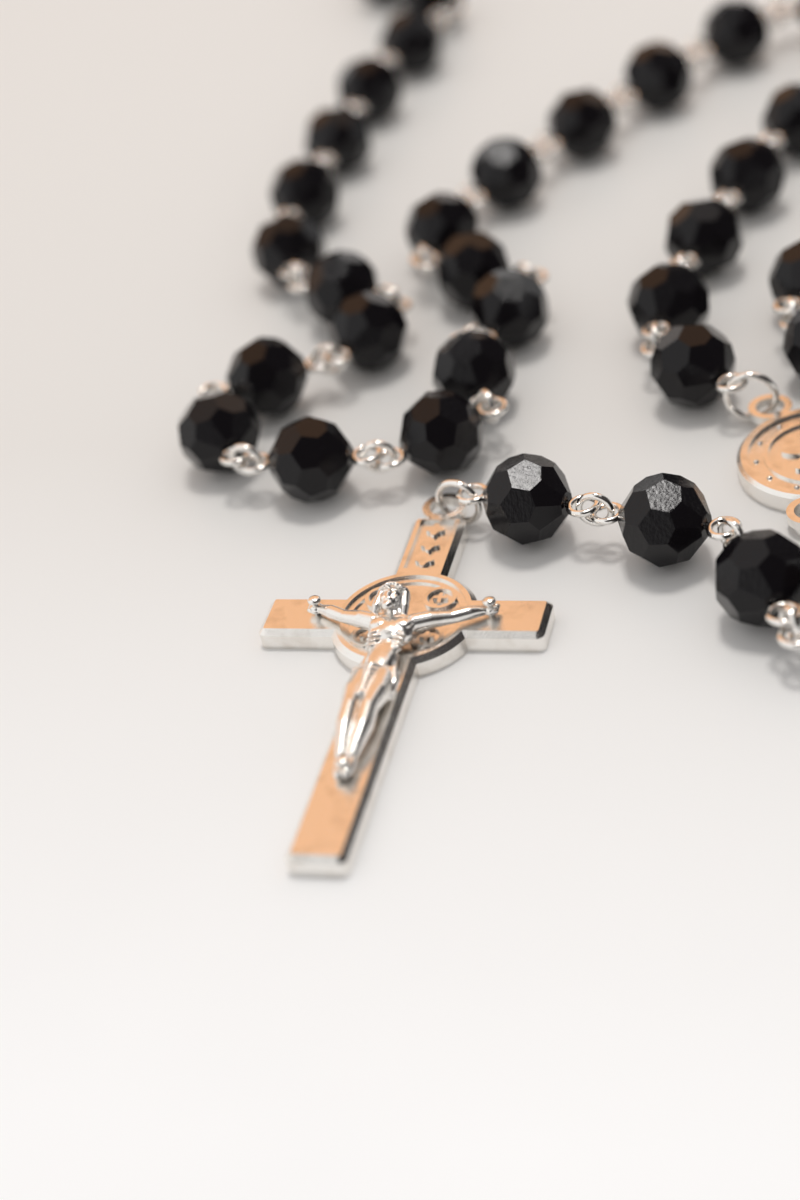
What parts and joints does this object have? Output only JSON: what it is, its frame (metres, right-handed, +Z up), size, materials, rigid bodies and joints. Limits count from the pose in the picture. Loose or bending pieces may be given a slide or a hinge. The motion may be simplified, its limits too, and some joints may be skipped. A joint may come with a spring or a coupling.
{
  "type": "rosary",
  "caption": "Five-decade rosary of faceted black glass beads on silver eye pins and rings, with a round centre medal and a bevelled crucifix.",
  "frame": {"origin": "on the table, under the centre of the crucifix crossing", "axes": "+X along the right arm of the crucifix, +Y up its upright, +Z up from the table"},
  "size_m": [0.147, 0.2383, 0.0086],
  "materials": {
    "black_glass": "polished",
    "silver_plate": "polished silver plate"
  },
  "bodies": {
    "medal": {"centre_medal": "silver_plate"},
    "pendant_link_1": {"pendant_ring_1": "silver_plate", "pendant_pin_1": "silver_plate"},
    "pendant_bead_1": {"pendant_bead_1": "black_glass"},
    "pendant_link_2": {"pendant_ring_2": "silver_plate", "pendant_pin_2": "silver_plate"},
    "pendant_bead_2": {"pendant_bead_2": "black_glass"},
    "pendant_link_3": {"pendant_ring_3": "silver_plate", "pendant_pin_3": "silver_plate"},
    "pendant_bead_3": {"pendant_bead_3": "black_glass"},
    "pendant_link_4": {"pendant_ring_4": "silver_plate", "pendant_pin_4": "silver_plate"},
    "pendant_bead_4": {"pendant_bead_4": "black_glass"},
    "pendant_link_5": {"pendant_ring_5": "silver_plate", "pendant_pin_5": "silver_plate"},
    "pendant_bead_5": {"pendant_bead_5": "black_glass"},
    "crucifix_ring": {"crucifix_ring": "silver_plate"},
    "crucifix": {"crucifix_cross": "silver_plate", "crucifix_corpus": "silver_plate", "crucifix_rivets": "silver_plate"},
    "left_decade_1a": {"left_decade_1a_beads": "black_glass", "left_decade_1a_links": "silver_plate"},
    "left_decade_1b": {"left_decade_1b_beads": "black_glass", "left_decade_1b_links": "silver_plate"},
    "left_decade_1c": {"left_decade_1c_beads": "black_glass", "left_decade_1c_links": "silver_plate"},
    "left_single_1": {"left_single_1_beads": "black_glass", "left_single_1_links": "silver_plate"},
    "left_decade_2a": {"left_decade_2a_beads": "black_glass", "left_decade_2a_links": "silver_plate"},
    "left_decade_2b": {"left_decade_2b_beads": "black_glass", "left_decade_2b_links": "silver_plate"},
    "left_decade_2c": {"left_decade_2c_beads": "black_glass", "left_decade_2c_links": "silver_plate"},
    "left_single_2": {"left_single_2_beads": "black_glass", "left_single_2_links": "silver_plate"},
    "left_decade_3a": {"left_decade_3a_beads": "black_glass", "left_decade_3a_links": "silver_plate"},
    "right_decade_1a": {"right_decade_1a_beads": "black_glass", "right_decade_1a_links": "silver_plate"},
    "right_decade_1b": {"right_decade_1b_beads": "black_glass", "right_decade_1b_links": "silver_plate"},
    "right_decade_1c": {"right_decade_1c_beads": "black_glass", "right_decade_1c_links": "silver_plate"},
    "right_single_1": {"right_single_1_beads": "black_glass", "right_single_1_links": "silver_plate"},
    "right_decade_2a": {"right_decade_2a_beads": "black_glass", "right_decade_2a_links": "silver_plate"},
    "right_decade_2b": {"right_decade_2b_beads": "black_glass", "right_decade_2b_links": "silver_plate"},
    "right_decade_2c": {"right_decade_2c_beads": "black_glass", "right_decade_2c_links": "silver_plate"},
    "right_single_2": {"right_single_2_beads": "black_glass", "right_single_2_links": "silver_plate"},
    "right_decade_3a": {"right_decade_3a_beads": "black_glass", "right_decade_3a_links": "silver_plate"}
  },
  "joints": [
    {"name": "pendant_lift_1", "type": "hinge", "parent": "medal", "child": "pendant_link_1", "pos_m": [0.03542, 0.01428, 0.00301], "axis": [-0.7711, -0.6367, 0], "range_deg": [0, 25]},
    {"name": "bead_spin_1", "type": "hinge", "parent": "pendant_link_1", "child": "pendant_bead_1", "pos_m": [0.04006, 0.0084, 0.00428], "axis": [0.6135, -0.7873, -0.0609], "continuous": true},
    {"name": "pendant_lift_2", "type": "hinge", "parent": "pendant_link_1", "child": "pendant_link_2", "pos_m": [0.04411, 0.00291, 0.00428], "axis": [-0.8804, -0.4743, 0], "range_deg": [0, 25]},
    {"name": "bead_spin_2", "type": "hinge", "parent": "pendant_link_2", "child": "pendant_bead_2", "pos_m": [0.03992, -0.00134, 0.00428], "axis": [-0.8189, -0.5707, -0.0609], "continuous": true},
    {"name": "pendant_lift_3", "type": "hinge", "parent": "pendant_link_2", "child": "pendant_link_3", "pos_m": [0.03466, -0.00367, 0.00428], "axis": [0.866, 0.5001, 0], "range_deg": [0, 25]},
    {"name": "bead_spin_3", "type": "hinge", "parent": "pendant_link_3", "child": "pendant_bead_3", "pos_m": [0.03169, 0.00248, 0.00428], "axis": [-0.421, 0.905, -0.0609], "continuous": true},
    {"name": "pendant_lift_4", "type": "hinge", "parent": "pendant_link_3", "child": "pendant_link_4", "pos_m": [0.02846, 0.00843, 0.00428], "axis": [0.6748, 0.738, 0], "range_deg": [0, 25]},
    {"name": "bead_spin_4", "type": "hinge", "parent": "pendant_link_4", "child": "pendant_bead_4", "pos_m": [0.02214, 0.0108, 0.00428], "axis": [-0.9572, 0.2831, -0.0609], "continuous": true},
    {"name": "pendant_lift_5", "type": "hinge", "parent": "pendant_link_4", "child": "pendant_link_5", "pos_m": [0.01555, 0.01255, 0.00428], "axis": [0.111, 0.9938, 0], "range_deg": [0, 25]},
    {"name": "bead_spin_5", "type": "hinge", "parent": "pendant_link_5", "child": "pendant_bead_5", "pos_m": [0.0089, 0.01413, 0.00428], "axis": [-0.9651, 0.2545, -0.0609], "continuous": true},
    {"name": "crucifix_swing", "type": "hinge", "parent": "pendant_link_5", "child": "crucifix_ring", "pos_m": [0.00335, 0.0156, 0.00393], "axis": [0, 0, 1], "range_deg": [-20, 20]},
    {"name": "crucifix_lift", "type": "hinge", "parent": "crucifix_ring", "child": "crucifix", "pos_m": [0.00168, 0.0161, 0.00266], "axis": [0.2864, 0.9581, 0], "range_deg": [0, 50]},
    {"name": "left_decade_1a_lift", "type": "hinge", "parent": "medal", "child": "left_decade_1a", "pos_m": [0.02722, 0.0325, 0.00301], "axis": [-0.023, 0.9997, 0], "range_deg": [0, 20]},
    {"name": "left_decade_1b_lift", "type": "hinge", "parent": "left_decade_1a", "child": "left_decade_1b", "pos_m": [0.02043, 0.06836, 0.00428], "axis": [0.9631, -0.2691, 0], "range_deg": [0, 20]},
    {"name": "left_decade_1c_lift", "type": "hinge", "parent": "left_decade_1b", "child": "left_decade_1c", "pos_m": [0.03404, 0.11869, 0.00428], "axis": [0.6898, 0.724, 0], "range_deg": [0, 20]},
    {"name": "left_single_1_lift", "type": "hinge", "parent": "left_decade_1c", "child": "left_single_1", "pos_m": [0.00441, 0.09608, 0.00428], "axis": [-0.8363, 0.5482, 0], "range_deg": [0, 20]},
    {"name": "left_decade_2a_lift", "type": "hinge", "parent": "left_single_1", "child": "left_decade_2a", "pos_m": [-0.0028, 0.08446, 0.00428], "axis": [-0.862, 0.507, 0], "range_deg": [0, 20]},
    {"name": "left_decade_2b_lift", "type": "hinge", "parent": "left_decade_2a", "child": "left_decade_2b", "pos_m": [0.00104, 0.05429, 0.00428], "axis": [-0.5405, -0.8413, 0], "range_deg": [0, 20]},
    {"name": "left_decade_2c_lift", "type": "hinge", "parent": "left_decade_2b", "child": "left_decade_2c", "pos_m": [-0.02091, 0.02121, 0.00428], "axis": [0.1548, 0.9879, 0], "range_deg": [0, 20]},
    {"name": "left_single_2_lift", "type": "hinge", "parent": "left_decade_2c", "child": "left_single_2", "pos_m": [-0.01329, 0.05069, 0.00428], "axis": [0.6008, 0.7994, 0], "range_deg": [0, 20]},
    {"name": "left_decade_3a_lift", "type": "hinge", "parent": "left_single_2", "child": "left_decade_3a", "pos_m": [-0.02549, 0.05653, 0.00428], "axis": [0.7872, 0.6167, 0], "range_deg": [0, 20]},
    {"name": "right_decade_1a_lift", "type": "hinge", "parent": "medal", "child": "right_decade_1a", "pos_m": [0.03849, 0.03387, 0.00301], "axis": [0.7581, 0.6522, 0], "range_deg": [0, 12]},
    {"name": "right_decade_1b_lift", "type": "hinge", "parent": "right_decade_1a", "child": "right_decade_1b", "pos_m": [0.04611, 0.06368, 0.00428], "axis": [0.2599, -0.9656, 0], "range_deg": [0, 12]},
    {"name": "right_decade_1c_lift", "type": "hinge", "parent": "right_decade_1b", "child": "right_decade_1c", "pos_m": [0.08528, 0.09787, 0.00428], "axis": [0.9463, -0.3232, 0], "range_deg": [0, 12]},
    {"name": "right_single_1_lift", "type": "hinge", "parent": "right_decade_1c", "child": "right_single_1", "pos_m": [0.09875, 0.13658, 0.00428], "axis": [0.9851, -0.1722, 0], "range_deg": [0, 12]},
    {"name": "right_decade_2a_lift", "type": "hinge", "parent": "right_single_1", "child": "right_decade_2a", "pos_m": [0.09818, 0.1502, 0.00428], "axis": [0.9693, 0.246, 0], "range_deg": [0, 12]},
    {"name": "right_decade_2b_lift", "type": "hinge", "parent": "right_decade_2a", "child": "right_decade_2b", "pos_m": [0.07571, 0.18397, 0.00428], "axis": [0.6786, 0.7345, 0], "range_deg": [0, 12]},
    {"name": "right_decade_2c_lift", "type": "hinge", "parent": "right_decade_2b", "child": "right_decade_2c", "pos_m": [0.02628, 0.20386, 0.00428], "axis": [-0.0162, 0.9999, 0], "range_deg": [0, 12]},
    {"name": "right_single_2_lift", "type": "hinge", "parent": "right_decade_2c", "child": "right_single_2", "pos_m": [-0.01201, 0.19079, 0.00428], "axis": [-0.574, 0.8189, 0], "range_deg": [0, 12]},
    {"name": "right_decade_3a_lift", "type": "hinge", "parent": "right_single_2", "child": "right_decade_3a", "pos_m": [-0.02237, 0.18188, 0.00428], "axis": [-0.7234, 0.6904, 0], "range_deg": [0, 12]}
  ]
}
